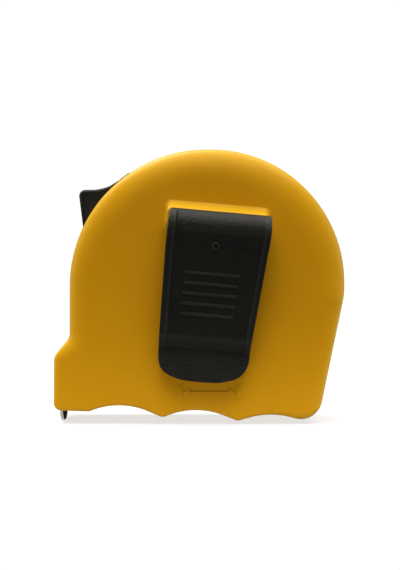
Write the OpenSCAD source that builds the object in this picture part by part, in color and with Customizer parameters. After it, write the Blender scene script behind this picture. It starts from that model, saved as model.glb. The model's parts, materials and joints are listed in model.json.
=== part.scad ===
// Pocket tape measure: a two-shell case with a spring-driven reel, a sliding thumb lock, a blade with a
// riveted end hook and a snap-in belt clip. Millimetres, +Z up, with its hook's tip lowest, at z = 0.
// -X is the way the blade pulls out, -Y is the belt clip's side, and each module's y = 0 is the parting
// plane.

/* [Case] */
// Length from the mouth to the back, which is added to an inside measurement
case_l = 72; // [71.5:0.5:73]
// Height over the finger grips
case_h = 67.1; // [67:0.1:68]
// Thickness over both shells, without the belt clip
case_t = 32; // [31.6:0.2:34]
// Wall of the shells
wall = 2.2; // [1.8:0.1:2.4]

/* [Blade] */
// Width of the steel blade
blade_w = 19; // [16:1:19]
// Thickness of the steel blade with its coating
blade_t = 0.2; // [0.14:0.02:0.24]
// Outer radius of the wound blade
coil_r = 24.2; // [23:0.1:24.3]
// Length of straight blade between the hook and the reel
straight_l = 60; // [56:1:60]

/* [Hook] */
// Thickness of the hook's steel, which is also its free play
hook_t = 0.8; // [0.7:0.1:1]
// Length of the hook's tongue along the blade
hook_l = 12.5; // [11:0.5:12.5]

/* [Lock] */
// Width of the thumb button
button_w = 13; // [10:0.5:14]
// Travel of the thumb lock along its arc, in degrees
lock_travel = 12; // [8:1:12]

/* [Belt clip] */
// How far the clip stands out from the case
clip_out = 9; // [8.8:0.1:9.5]
// Lean of the clip, in degrees, to suit the sloping base
clip_lean = 5; // [0:0.5:5]

/* [Hidden] */
$fn = 64;

// ---- Case outline, in the XZ plane ----
half_t = case_t / 2;
case_y = clip_out / 2;              // the parting plane sits off centre by half the clip's reach
lift = 0.9;                         // the hook reaches this far below the finger grips
mouth_x = -case_l / 2;
back_x = case_l / 2;
front_x = mouth_x + 3.76;           // front wall above the mouth's nose
front_r = 33.9;                     // arc over the front and top
back_r = 33;                        // arc over the back and top
reel_x = front_x + front_r;
reel_z = case_h - front_r;
mouth_floor_z = 2.5;
edge_bulge = 0.56;                  // depth of the rounded edge as a share of its width

// Corner: [x, z, radius, width of the rounded edge there]
outline = [
    [mouth_x, mouth_floor_z, 1.9, 1],
    [-27.3, 2.2, 3, 0.8],
    [-19.4, 5.05, 18.5, 0.8],         // finger hollow
    [-9.1, 0.75, 1.6, 0.8],
    [-1, 3.95, 19, 0.8],              // finger hollow
    [9.4, -0.11, 1.6, 0.8],
    [17.2, 2.15, 19.6, 0.8],          // finger hollow
    [29.2, -1, 5.4, 2.4],
    [back_x, 31.4, 20, 7],
    [back_x, case_h, back_r, 8],
    [front_x, case_h, front_r, 7],
    [front_x, 20.4, 2.7, 3.4],
    [mouth_x, 15.75, 3.4, 2.4]
];

// Inside of the case, behind the mouth: [x, z, radius]
floor_z = 5.3;
cavity = [
    [front_x + wall, floor_z, 1],
    [29, floor_z, 3],
    [back_x - wall, 31.4, 18],
    [back_x - wall, case_h - wall, back_r - wall],
    [front_x + wall, case_h - wall, front_r - wall]
];

// ---- Face label ----
label_r = 17;
label_t = 0.4;

// ---- Reel, along Y ----
drum_r = 17.3;
drum_wall = 1.4;
flange_r = 24.6;
flange_t = 1;
coil_half = blade_w / 2;
flange_y = 9.9;                     // inner face of each flange
arbor_r = 3.2;
bearing_gap = 0.08;
arbor_key = 4.3;                    // square end that the shells hold
boss_face_y = half_t - 3.8;         // face of each shell's centre boss
washer_r = 8;
spring_t = 0.35;
spring_pack_r = [12.4, 15.5];       // turns pressed against the drum
spring_turns = 3;                   // open turns down to the arbor
spring_y = [-9.2, 8.2];

// ---- Blade and hook ----
cup_r = 23.6;                       // radius of the blade's hollow section
blade_z = 6.6;                      // underside of the blade at its middle
hook_front_x = mouth_x + 0.9;
blade_end_x = hook_front_x + hook_t;
rivet_r = 1.2;
rivet_play = 0.05;
rivet_head = [1.9, 0.45];           // radius, height
// Each rivet: [distance from the blade's end, turn round the cup's axis]
rivets = [[3.4, -9.2], [3.4, 9.2], [8.6, 0]];
mouth_half = 10.6;                  // half width of the mouth between its cheeks
mouth_top_z = 10.5;
bumper_t = 1.35;

// ---- Thumb lock, on an arc round the reel's axis; angles run anticlockwise from +X ----
slide_r = [28.4, 30.4];
slide_arc = [113, 221];
slide_half = 6;
stem_arc = [139, 149];
stem_half = 3.8;
stem_top_r = 35.8;
skirt_arc = [124.2, 131.5];
skirt_r = 34.45;
// Foot of the button, its top corner and the hollow that runs into its skirt: [x, z, radius]
button_corners = [[-29.2, 46.2], [-30.65, 57.5, 1.6], [-22.9, 57.4, 5.8], polar(skirt_r, skirt_arc[1])];
slot_gap = 0.3;
button_gap = 0.25;
pad_r = 1.5;
pad_angle = 222;
pad_half = 3.2;

// ---- Screws ----
screw_places = [[-30.6, 13.2], [27, 14.2], [reel_x + 28 * cos(20), reel_z + 28 * sin(20)],
                [reel_x + 28 * cos(82), reel_z + 28 * sin(82)]];
screw_r = 1.3;
screw_head = [2.1, 1.8];
screw_y = [-7, 9];                  // tip, and underside of the head
boss_r = 3;

// ---- Belt clip, in its own frame: u out of the case, v up, x across, bead at u = clip_u and v = 0 ----
clip_x = 4.5;
clip_z = 49.9;
clip_u = 1.7;
clip_t = 2.2;
bead_r = 1.5;
bead_gap = 0.1;
neck_x = [-11.4, 11.2];
socket_x = [-12.7, 12.5];
// Arm seen from the side, from the root over the top roll to the crease and the flared tip: [u, v, radius]
clip_outside = [
    [4.2, 1.4, 0], [clip_out, 1.4, 4.4], [clip_out, -5, 3], [8.4, -7.5, 3], [6, -29.6, 1.6],
    [2.9, -32.5, 1.3], [4.2, -40.3, 0]
];
clip_inside = [
    [4.2, -0.8, 0], [clip_out - clip_t, -0.8, 2.4], [clip_out - clip_t, -5, 1], [6.2, -7.5, 1],
    [3.8, -29.2, 2.6], [0.8, -32.8, 2.4], [2, -40.6, 0]
];
// Edges of the arm, seen from the front: [v, x]
clip_left = [[-40.6, -1.5], [-40.5, -3.4], [-40.1, -6.3], [-39.5, -8.4], [-38.6, -10], [-37.5, -11],
             [-36, -11.5], [-34, -11.7], [-30, -11.8], [-8, -12.1], [1.4, -11.8]];
clip_right = [[-40.6, 0.3], [-40.5, 1.5], [-40.1, 4.3], [-39.2, 7.4], [-38.2, 8.9], [-37.05, 9.75],
              [-35.8, 10.35], [-34.5, 10.65], [-30.6, 10.7], [-3.8, 13.2], [1.4, 13.1]];
clip_top_r = 0.8;
clip_rim = [1.7, 1.3];              // raised rims beside the panel, left and right
clip_panel = [[-32.8, 0], [-31.8, 0.3], [-2, 0.3], [0.6, 0.15], [1.4, 0]];      // [v, depth of the panel]

// ======== Outline functions ========
function unit(v) = v / norm(v);
function xy(c) = [c[0], c[1]];
// One rounded corner as [x, y, outward nx, outward ny, edge width], in steps of about `step` degrees
function corner_arc(a, c, b, step) =
    let (da = unit(xy(a) - xy(c)), db = unit(xy(b) - xy(c)),
         half = acos(max(-1, min(1, da * db))) / 2,
         middle = xy(c) + unit(da + db) * c[2] / sin(half),
         turn = db[0] * da[1] - db[1] * da[0] > 0 ? 1 : -1,
         from = xy(c) + da * c[2] / tan(half) - middle,
         start = atan2(from[1], from[0]),
         sweep = turn * (180 - 2 * half),
         n = max(2, ceil(abs(sweep) / step)))
    [for (i = [0 : n])
        let (t = start + sweep * i / n, d = [cos(t), sin(t)],
             near = i < n / 2 ? a : b, share = abs(1 - 2 * i / n) / 2)
        [middle[0] + c[2] * d[0], middle[1] + c[2] * d[1], turn * d[0], turn * d[1],
         len(c) < 4 ? 0 : c[3] + (near[3] - c[3]) * share]];
function rounded(corners, step = 15) =
    let (n = len(corners))
    [for (i = [0 : n - 1]) each
        corner_arc(corners[(i + n - 1) % n], corners[i], corners[(i + 1) % n], step)];
function points_of(path) = [for (p = path) xy(p)];
function polar(r, t) = [reel_x + r * cos(t), reel_z + r * sin(t)];

// ======== Building blocks ========
module at_case() { translate([0, case_y, lift]) children(); }
// A flat shape in XZ, from y0 to y1
module slab(y0, y1) {
    translate([0, y1, 0]) rotate([90, 0, 0]) linear_extrude(y1 - y0) children();
}
// A cylinder along Y
module rod(x, z, r, y0, y1) {
    translate([x, y0, z]) rotate([-90, 0, 0]) cylinder(r = r, h = y1 - y0);
}
module reel_rod(r, y0, y1) { rod(reel_x, reel_z, r, y0, y1); }
module ring_sector(r0, r1, a0, a1, y0, y1) {
    translate([reel_x, y1, reel_z]) rotate([90, 0, 0])
        rotate([0, 0, a0]) rotate_extrude(angle = a1 - a0) translate([r0, 0]) square([r1 - r0, y1 - y0]);
}
// The clip's frame: x across, y along -u, z along v
module clip_frame() {
    translate([clip_x, case_y - half_t, clip_z + lift]) rotate([0, clip_lean, 0]) children();
}
// A side shape in u and v, extruded from x0 to x1 in the clip's frame
module clip_extrude(x0, x1) {
    translate([x0, 0, 0]) rotate([90, 0, 90]) linear_extrude(x1 - x0) mirror([1, 0]) children();
}

// ======== Case shells ========
// The label half of the case as one solid body: rings run from the parting plane up the rounded edge,
// and a flat plate closes them
module half_body() {
    path = rounded(outline, 8);
    n = len(path);
    turns = [0, 15, 30, 45, 60, 75];
    rings = concat(
        [[for (p = path) [p[0], 0, p[1]]]],
        [for (t = turns)
            [for (p = path)
                let (inset = p[4] * (1 - cos(t)))
                [p[0] - p[2] * inset, half_t - edge_bulge * p[4] * (1 - sin(t)), p[1] - p[3] * inset]]]);
    m = len(rings);
    points = concat([for (r = rings, p = r) p], [[reel_x, 0, reel_z], [reel_x, half_t - 0.5, reel_z]]);
    sides = [for (k = [0 : m - 2], i = [0 : n - 1])
        let (j = (i + 1) % n)
        each [[k * n + i, k * n + j, (k + 1) * n + j], [k * n + i, (k + 1) * n + j, (k + 1) * n + i]]];
    inner_cap = [for (i = [0 : n - 1]) [m * n, (i + 1) % n, i]];
    outer_cap = [for (i = [0 : n - 1]) [m * n + 1, (m - 1) * n + i, (m - 1) * n + (i + 1) % n]];
    polyhedron(points, concat(sides, inner_cap, outer_cap));
    slab(half_t - 1, half_t) polygon([for (p = path) [p[0] - p[2] * p[4], p[1] - p[3] * p[4]]]);
}

module hollow_half() {
    difference() {
        half_body();
        slab(-1, half_t - wall) polygon(points_of(rounded(cavity, 9)));
    }
}

// Space of the blade, the hook and the thumb lock's stem, taken from both shells
module openings() {
    translate([mouth_x - 1, -mouth_half, floor_z - 0.9])
        cube([15.5, 2 * mouth_half, mouth_top_z - floor_z + 0.9]);
    translate([mouth_x - 1, -mouth_half, -1])
        cube([hook_t + bumper_t + 2, 2 * mouth_half, mouth_top_z]);
    ring_sector(30.8, 37, stem_arc[0] - 0.6, stem_arc[1] + lock_travel + 0.6,
                -stem_half - slot_gap, stem_half + slot_gap);
}

module key_pocket() {
    pocket = arbor_key + 0.15;
    translate([reel_x - pocket / 2, boss_face_y - 0.1, reel_z - pocket / 2]) cube([pocket, 2.6, pocket]);
}

module shell_with_bosses() {
    hollow_half();
    for (p = screw_places) rod(p[0], p[1], boss_r, 0, half_t - 1);
    reel_rod(6, boss_face_y, half_t - 1);
}

module clip_socket() {
    difference() {
        clip_extrude(socket_x[0], socket_x[1])
            polygon([[-1, -4.6], [3.3, -3.2], [3.9, -2.6], [3.9, 1.6], [0, 2.95], [-1, 2.95]]);
        clip_extrude(neck_x[0] - 0.3, neck_x[1] + 0.3) {
            translate([clip_u, 0]) circle(r = bead_r + bead_gap);
            translate([clip_u, -1.15]) square([4, 2.3]);
        }
    }
}

module clip_side_shell() {
    color("gold") {
        at_case() difference() {
            mirror([0, 1, 0]) difference() {
                shell_with_bosses();
                for (p = screw_places) rod(p[0], p[1], screw_r + 0.02, -0.1, 9);
                key_pocket();
            }
            openings();
        }
        clip_frame() clip_socket();
    }
}

module label_side_shell() {
    color("gold") at_case() difference() {
        shell_with_bosses();
        for (p = screw_places) {
            rod(p[0], p[1], screw_r + 0.15, -0.1, half_t);
            rod(p[0], p[1], screw_head[0] + 0.2, screw_y[1], half_t + 1);
        }
        key_pocket();
        reel_rod(label_r + 0.2, half_t - label_t, half_t + 1);
        openings();
    }
}

module case_screws() {
    color("silver") at_case() for (p = screw_places) {
        difference() {
            union() {
                rod(p[0], p[1], screw_r, screw_y[0], screw_y[1] + 0.1);
                rod(p[0], p[1], screw_head[0], screw_y[1], screw_y[1] + screw_head[1]);
            }
            translate([p[0], screw_y[1] + screw_head[1], p[1]]) for (t = [0, 90])
                rotate([0, t, 0]) cube([2.6, 2, 0.5], center = true);
        }
    }
}

module face_label() {
    color("dimgray") at_case() reel_rod(label_r, half_t - label_t + 0.01, half_t - 0.08);
}

module hook_bumper() {
    color("#202020") at_case()
        translate([blade_end_x + 0.06, -7, mouth_floor_z + 0.3]) cube([bumper_t, 14, 1.5]);
}

// ======== Reel ========
module arbor() {
    color("silver") at_case() difference() {
        union() {
            reel_rod(arbor_r, -boss_face_y, boss_face_y);
            translate([reel_x, 0, reel_z])
                cube([arbor_key, 2 * (boss_face_y + 2.4), arbor_key], center = true);
        }
        // slot that takes the mainspring's inner end
        translate([reel_x - 0.4, spring_y[0] - 0.2, reel_z])
            cube([0.8, spring_y[1] - spring_y[0] + 0.4, 5]);
    }
}

module washer(y0) {
    color("white") at_case() difference() {
        reel_rod(washer_r, y0, y0 + 1.1);
        reel_rod(arbor_r + 0.15, y0 - 1, y0 + 3);
    }
}
module clip_side_washer() { washer(-boss_face_y + 0.05); }
module label_side_washer() { washer(boss_face_y - 1.15); }

module bearing_hole() { reel_rod(arbor_r + bearing_gap, -half_t, half_t); }

module anchor_place() { translate([reel_x, 0, reel_z]) rotate([0, 90, 0]) children(); }

module drum() {
    color("whitesmoke") at_case() difference() {
        union() {
            reel_rod(flange_r, -flange_y - flange_t, -flange_y);
            reel_rod(drum_r, -flange_y - 0.1, flange_y - 0.1);
        }
        reel_rod(drum_r - drum_wall, -flange_y + 0.4, flange_y + 1);
        bearing_hole();
        anchor_place() cylinder(r = 1.05, h = drum_r + 1);
    }
}

module drum_cover() {
    color("whitesmoke") at_case() difference() {
        union() {
            reel_rod(flange_r, flange_y, flange_y + flange_t);
            difference() {
                reel_rod(drum_r - drum_wall - 0.1, flange_y - 1.3, flange_y + 0.1);
                reel_rod(drum_r - drum_wall - 1.1, flange_y - 2, flange_y + 0.05);
            }
        }
        bearing_hole();
    }
}

// The open turns of the mainspring, from the arbor's slot out to the packed turns
module spring_spiral() {
    inner = arbor_r + 0.5;
    outer = spring_pack_r[0] + 0.2;
    function r_at(s) = inner + (outer - inner) * pow(s, 1.3);
    steps = spring_turns * 24;
    side = [for (i = [0 : steps]) let (s = i / steps, t = 90 + 360 * spring_turns * s) [r_at(s), t]];
    polygon(concat([for (p = side) polar(p[0], p[1])],
                   [for (i = [steps : -1 : 0]) polar(side[i][0] + spring_t, side[i][1])]));
    // the inner end, which hooks into the arbor's slot
    translate([reel_x - spring_t / 2, reel_z + 1.2]) square([spring_t, inner + 0.2 - 1.2]);
}

module mainspring() {
    color("slategray") at_case() {
        slab(spring_y[0], spring_y[1]) spring_spiral();
        difference() {
            reel_rod(spring_pack_r[1], spring_y[0], spring_y[1]);
            reel_rod(spring_pack_r[0], spring_y[0] - 1, spring_y[1] + 1);
        }
    }
}

module spring_anchor_rivet() {
    color("silver") at_case() anchor_place() {
        translate([0, 0, spring_pack_r[1] + 0.03]) cylinder(r = 1, h = drum_r - spring_pack_r[1] - 0.05);
        translate([0, 0, spring_pack_r[1] + 0.03]) cylinder(r = 1.9, h = 0.25);
    }
}

module blade_coil() {
    color("khaki") at_case() difference() {
        reel_rod(coil_r, -coil_half, coil_half);
        reel_rod(drum_r + 0.03, -coil_half - 1, coil_half + 1);
    }
}

// ======== Blade and hook ========
// A strip curved to the blade's cup, from `below` under the blade's underside to `above` over it
module cupped_strip(x0, x1, half_w, below, above) {
    translate([x0, 0, blade_z + cup_r]) rotate([90, 0, 90]) linear_extrude(x1 - x0) intersection() {
        difference() {
            circle(r = cup_r + below);
            circle(r = cup_r - above);
        }
        translate([-half_w, -2 * cup_r]) square([2 * half_w, 2 * cup_r]);
    }
}
// Places children at each rivet, with z along it and 0 at the blade's underside
module at_rivets() {
    for (p = rivets) translate([blade_end_x + p[0], 0, blade_z + cup_r])
        rotate([p[1], 0, 0]) translate([0, 0, -cup_r]) children();
}

module blade() {
    color("khaki") at_case() difference() {
        cupped_strip(blade_end_x, blade_end_x + straight_l, coil_half, 0, blade_t);
        at_rivets() translate([0, 0, -1]) cylinder(r = rivet_r + 0.02, h = 3);
    }
}

module hook_rivets() {
    color("silver") at_case() at_rivets() {
        translate([0, 0, -hook_t - 0.2]) cylinder(r = rivet_r, h = hook_t + 0.6);
        translate([0, 0, blade_t + 0.08]) cylinder(r = rivet_head[0], h = rivet_head[1]);
        translate([0, 0, -hook_t - 0.1 - rivet_head[1]])
            cylinder(r = rivet_head[0] + 0.2, h = rivet_head[1]);
    }
}

// Front of the hook in YZ: shoulders under the blade, tapering to a round tip on the ground
module hook_tab_shape() {
    tip_r = 2.4;
    top_half = 9.5;
    rim = [[-top_half, 7.6, 0.8], [-top_half, 2.9, 2], [-4.8, -lift, tip_r], [4.8, -lift, tip_r],
           [top_half, 2.9, 2], [top_half, 7.6, 0.8]];
    polygon(points_of(rounded(rim)));
}

module end_hook() {
    color("lightsteelblue") at_case() difference() {
        union() {
            cupped_strip(hook_front_x, hook_front_x + hook_l, 7.4, hook_t, -0.02);
            difference() {
                translate([hook_front_x, 0, 0]) rotate([90, 0, 90])
                    linear_extrude(hook_t) hook_tab_shape();
                // the tab's top follows the blade's hollow
                translate([hook_front_x - 1, 0, blade_z + cup_r]) rotate([0, 90, 0])
                    cylinder(r = cup_r - 0.02, h = hook_t + 2);
            }
        }
        // slots that give the hook its own thickness of play
        at_rivets() for (dx = [0, hook_t]) translate([dx, 0, -hook_t - 1])
            cylinder(r = rivet_r + rivet_play, h = hook_t + 2);
        at_rivets() translate([0, -rivet_r - rivet_play, -hook_t - 1])
            cube([hook_t, 2 * (rivet_r + rivet_play), hook_t + 2]);
    }
}

// ======== Thumb lock ========
module button_shape() {
    c = button_corners;
    polygon(concat(
        [c[0]], points_of(corner_arc(c[0], c[1], c[2], 15)), points_of(corner_arc(c[1], c[2], c[3], 6)),
        [for (t = [skirt_arc[1] : -1.825 : skirt_arc[0] - 0.01]) polar(skirt_r, t)],
        [polar(32.5, skirt_arc[0]), polar(32, 140), [-26, 46]]));
}
module thumb_button() {
    color("#202020") at_case() difference() {
        slab(-button_w / 2, button_w / 2) button_shape();
        reel_rod(front_r + button_gap, -button_w, button_w, $fn = 240);
        ring_sector(30, stem_top_r + 0.05, stem_arc[0] - 0.1, stem_arc[1] + 0.1,
                    -stem_half - 0.05, stem_half + 0.05);
    }
}

module lock_slide() {
    color("#303030") at_case() difference() {
        union() {
            ring_sector(slide_r[0], slide_r[1], slide_arc[0], slide_arc[1], -slide_half, slide_half);
            ring_sector(slide_r[0] + 0.5, stem_top_r, stem_arc[0], stem_arc[1], -stem_half, stem_half);
        }
        pad(0.02, 20);
    }
}
module pad(gap, half_w) {
    p = polar(slide_r[1], pad_angle);
    rod(p[0], p[1], pad_r + gap, -half_w, half_w);
}
module brake_pad() { color("#101010") at_case() pad(0, pad_half); }

// ======== Belt clip ========
// One rounded corner with a fixed number of steps
function fixed_arc(a, c, b, n) =
    let (da = unit(xy(a) - xy(c)), db = unit(xy(b) - xy(c)),
         half = acos(max(-1, min(1, da * db))) / 2,
         middle = xy(c) + unit(da + db) * c[2] / sin(half),
         turn = db[0] * da[1] - db[1] * da[0] > 0 ? 1 : -1,
         from = xy(c) + da * c[2] / tan(half) - middle,
         start = atan2(from[1], from[0]))
    [for (i = [0 : n]) let (t = start + turn * (180 - 2 * half) * i / n) middle + c[2] * [cos(t), sin(t)]];
function arm_path(corners) =
    let (m = len(corners),
         bends = concat([xy(corners[0])],
                        [for (i = [1 : m - 2]) each fixed_arc(corners[i - 1], corners[i], corners[i + 1], 5)]),
         from = bends[len(bends) - 1], to = xy(corners[m - 1]))
    concat(bends, [for (i = [1 : 12]) from + (to - from) * sin(i * 7.5)]);
function corner_cut(v, end, r) = let (d = r - abs(v - end)) d <= 0 ? 0 : r - sqrt(max(0, r * r - d * d));
// Cross-section of the arm between an outside and an inside point: [x, -u, v]
function arm_ring(o, i) =
    let (left = function(v) lookup(v, clip_left) + corner_cut(v, 1.45, clip_top_r),
         right = function(v) lookup(v, clip_right) - corner_cut(v, 1.45, clip_top_r),
         deep = lookup(o[1], clip_panel), n = unit(i - o), p = o + n * deep,
         l = left(o[1]), r = right(o[1]))
    [[l, o], [l + clip_rim[0], o], [l + clip_rim[0] + 0.4, p], [r - clip_rim[1] - 0.4, p],
     [r - clip_rim[1], o], [r, o], [right(i[1]), i], [left(i[1]), i]];
module arm() {
    outside = arm_path(clip_outside);
    inside = arm_path(clip_inside);
    m = len(outside);
    points = [for (k = [0 : m - 1], q = arm_ring(outside[k], inside[k])) [q[0], -q[1][0], q[1][1]]];
    sides = [for (k = [0 : m - 2], i = [0 : 7])
        let (j = (i + 1) % 8, a = k * 8, b = a + 8)
        each [[a + i, a + j, b + j], [a + i, b + j, b + i]]];
    last = 8 * (m - 1);
    ends = [for (i = [0 : 5]) each [[7, i + 1, i], [last + 7, last + i, last + i + 1]]];
    polyhedron(points, concat(sides, ends));
}

module belt_clip() {
    color("#1c1c1c") clip_frame() {
        arm();
        clip_extrude(neck_x[0], neck_x[1]) {
            translate([clip_u, 0]) circle(r = bead_r);
            translate([clip_u, -0.65]) square([3, 1.3]);
        }
    }
}

clip_side_shell();
label_side_shell();
case_screws();
face_label();
hook_bumper();
arbor();
clip_side_washer();
label_side_washer();
drum();
drum_cover();
mainspring();
spring_anchor_rivet();
blade_coil();
blade();
hook_rivets();
end_hook();
lock_slide();
thumb_button();
brake_pad();
belt_clip();
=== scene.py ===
"""Pocket tape measure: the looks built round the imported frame. Lengths in the tables are millimetres."""
import json
import math

import bmesh
import bpy
from mathutils import Matrix, Vector


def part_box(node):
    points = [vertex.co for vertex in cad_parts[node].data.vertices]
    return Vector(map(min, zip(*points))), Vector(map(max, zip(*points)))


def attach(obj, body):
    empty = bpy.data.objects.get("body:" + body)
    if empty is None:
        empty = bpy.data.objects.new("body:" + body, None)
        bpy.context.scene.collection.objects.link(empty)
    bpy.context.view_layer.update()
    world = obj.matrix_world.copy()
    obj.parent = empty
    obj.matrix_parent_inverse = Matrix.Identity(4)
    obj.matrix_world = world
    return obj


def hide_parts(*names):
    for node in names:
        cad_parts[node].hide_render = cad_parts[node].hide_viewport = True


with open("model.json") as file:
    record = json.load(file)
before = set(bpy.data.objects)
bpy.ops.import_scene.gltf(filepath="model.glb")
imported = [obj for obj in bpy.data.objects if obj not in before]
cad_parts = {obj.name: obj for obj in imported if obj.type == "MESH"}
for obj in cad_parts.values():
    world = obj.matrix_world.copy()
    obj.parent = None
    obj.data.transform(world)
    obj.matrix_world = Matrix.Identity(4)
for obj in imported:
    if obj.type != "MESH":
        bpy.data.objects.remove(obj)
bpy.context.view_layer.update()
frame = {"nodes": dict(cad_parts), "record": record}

MM = 0.001
JOINTS = {j["name"]: j for j in frame["record"]["behaviour"]["joints"]}

# ---- Places taken from the frame, in millimetres ----
REEL = [v / MM for v in JOINTS["reel_spin"]["pos_m"]]
CASE_Y = REEL[1]                                          # parting plane
HALF_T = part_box("label_side_shell")[1].y / MM - CASE_Y
MOUTH_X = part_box("clip_side_shell")[0].x / MM
BACK_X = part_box("clip_side_shell")[1].x / MM
TOP_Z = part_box("clip_side_shell")[1].z / MM
HOOK_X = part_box("end_hook")[0].x / MM
BLADE_END_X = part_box("blade")[0].x / MM
BLADE_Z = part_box("blade")[0].z / MM
HOOK_T = BLADE_END_X - HOOK_X
CLIP_ROOT = [v / MM for v in JOINTS["clip_flex"]["pos_m"]]
CLIP_LEAN = math.atan2(JOINTS["clip_flex"]["axis"][2], -JOINTS["clip_flex"]["axis"][0])

# ---- Case ----
FRONT_X = MOUTH_X + 3.76        # front wall above the nose
FRONT_R = REEL[0] - FRONT_X     # arc over the front and top
WALL = 2.2
BLADE_HALF = 9.5                # half width of the blade, and of the hook at its shoulders
LIFT = 0.9                      # the hook reaches this far below the finger grips
EDGE_BULGE = 0.56               # depth of the rounded edge as a share of its width
LEAST_ARC = 0.7                 # radius that an outer corner keeps inside its rounded edge
# Corner: [x, z, radius, width of the rounded edge there]
OUTLINE = [
    [MOUTH_X, 2.5, 1.9, 1.5], [-27.3, 2.2, 3.0, 0.8], [-19.4, 5.05, 18.5, 0.8], [-9.1, 0.75, 1.6, 0.8],
    [-1.0, 3.95, 19.0, 0.8], [9.4, -0.11, 1.6, 0.8], [17.2, 2.15, 19.6, 0.8], [29.2, -1.0, 5.4, 2.4],
    [BACK_X, 31.4, 20.0, 7.0], [BACK_X, TOP_Z - LIFT, 33.0, 8.0], [FRONT_X, TOP_Z - LIFT, FRONT_R, 7.0],
    [FRONT_X, 20.4, 2.7, 4.4], [MOUTH_X, 15.75, 3.4, 3.0],
]
FLOOR_Z = 5.3
# Corner of the space inside: [x, z, radius, 0]
CAVITY = [
    [FRONT_X + WALL, FLOOR_Z, 1.0, 0], [29.0, FLOOR_Z, 3.0, 0], [BACK_X - WALL, 31.4, 18.0, 0],
    [BACK_X - WALL, TOP_Z - LIFT - WALL, 30.8, 0], [FRONT_X + WALL, TOP_Z - LIFT - WALL, FRONT_R - WALL, 0],
]
MOUTH_HALF = 10.6
MOUTH_TOP = 10.5
MOUTH_DEPTH = 14.5
MOUTH_SILL = 0.9                # the mouth's floor lies this far under the floor inside
RECESS_TOP = 9.5                # the hook's recess at the foot of the nose
RECESS_DEPTH = 3.15
SEAM = 0.12                     # depth of the fine groove along the parting line
SCREWS = [(-30.6, 13.2), (27.0, 14.2), (27.97, 42.78), (5.56, 60.93)]
SCREW_RECESS_R = 2.3
SCREW_RECESS_Y = 9.0
LABEL_R = 17.0
LABEL_T = 0.4
LOCK_SLOT = (138.4, 161.6)      # degrees round the reel's axis
LOCK_SLOT_R = (30.8, 37)
LOCK_SLOT_HALF = 4.1

# ---- Belt clip, in its own frame: x across, u out of the case, v up; the bead is at u = CLIP_U, v = 0 ----
CLIP_U = 1.7
CLIP_OUT = 9.0
CLIP_T = 2.2
BEAD_R = 1.5
# Faces of the arm seen from the side, from its root over the top roll to the flared tip: [u, v, radius]
CLIP_OUTSIDE = [
    [4.2, 1.4, 0], [CLIP_OUT, 1.4, 4.4], [CLIP_OUT, -5.0, 11.0], [8.4, -7.5, 11.0], [6.0, -29.6, 1.6],
    [2.9, -32.5, 1.3], [4.2, -40.3, 0],
]
CLIP_INSIDE = [
    [4.2, -0.8, 0], [CLIP_OUT - CLIP_T, -0.8, 2.4], [CLIP_OUT - CLIP_T, -5.0, 1.0], [6.2, -7.5, 1.0],
    [3.8, -29.2, 2.6], [0.8, -32.8, 2.4], [2.0, -40.6, 0],
]
# Sides of the arm seen from the front: [v, x]
CLIP_LEFT = [
    [-40.6, -1.5], [-40.5, -3.4], [-40.1, -6.3], [-39.5, -8.4], [-38.6, -10.0], [-37.5, -11.0],
    [-36.0, -11.5], [-34.0, -11.7], [-30.0, -11.8], [-8.0, -12.1], [0.6, -11.85], [1.2, -11.6],
    [1.4, -11.3],
]
CLIP_RIGHT = [
    [-40.6, 0.3], [-40.5, 1.5], [-40.1, 4.3], [-39.2, 7.4], [-38.2, 8.9], [-37.05, 9.75],
    [-35.8, 10.35], [-34.5, 10.65], [-30.6, 10.7], [-3.8, 13.2], [0.6, 13.15], [1.2, 12.9],
    [1.4, 12.6],
]
CLIP_RIM = (1.7, 1.3)           # width of the raised rims, left and right
# Depth of the sunk panel between the rims: [v, depth]
CLIP_PANEL = [[-32.8, 0.0], [-31.4, 0.5], [-2.0, 0.5], [0.6, 0.25], [1.4, 0.0]]
NECK_X = (-11.4, 11.2)
SOCKET_X = (-12.7, 12.5)


# ======== Outlines ========
def rounded(corners, step):
    """Points of a closed outline with rounded corners, as corner_arc gives them."""
    points = []
    for i, c in enumerate(corners):
        a, b = corners[i - 1], corners[(i + 1) % len(corners)]
        points += corner_arc(a, c, b, step)
    return points


def corner_arc(a, c, b, step=None, count=None):
    """The rounded corner c between a and b: (x, z, outward nx, outward nz, edge width, widest edge)."""
    here = Vector(c[:2])
    da, db = (Vector(a[:2]) - here).normalized(), (Vector(b[:2]) - here).normalized()
    half = math.acos(max(-1.0, min(1.0, da.dot(db)))) / 2
    middle = here + (da + db).normalized() * c[2] / math.sin(half)
    turn = 1 if db[0] * da[1] - db[1] * da[0] > 0 else -1
    start = here + da * c[2] / math.tan(half) - middle
    angle = math.atan2(start[1], start[0])
    sweep = turn * (math.pi - 2 * half)
    n = count or max(2, math.ceil(abs(math.degrees(sweep)) / step))
    points = []
    for i in range(n + 1):
        t = angle + sweep * i / n
        d = (math.cos(t), math.sin(t))
        width = 0.0
        if len(c) > 3:
            near = a if i < n / 2 else b
            width = c[3] + (near[3] - c[3]) * abs(1 - 2 * i / n) / 2
        # a wider edge would fold over on an outer corner
        widest = c[2] - LEAST_ARC if turn > 0 else math.inf
        points.append((middle[0] + c[2] * d[0], middle[1] + c[2] * d[1], turn * d[0], turn * d[1],
                       width, widest))
    return points


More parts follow.
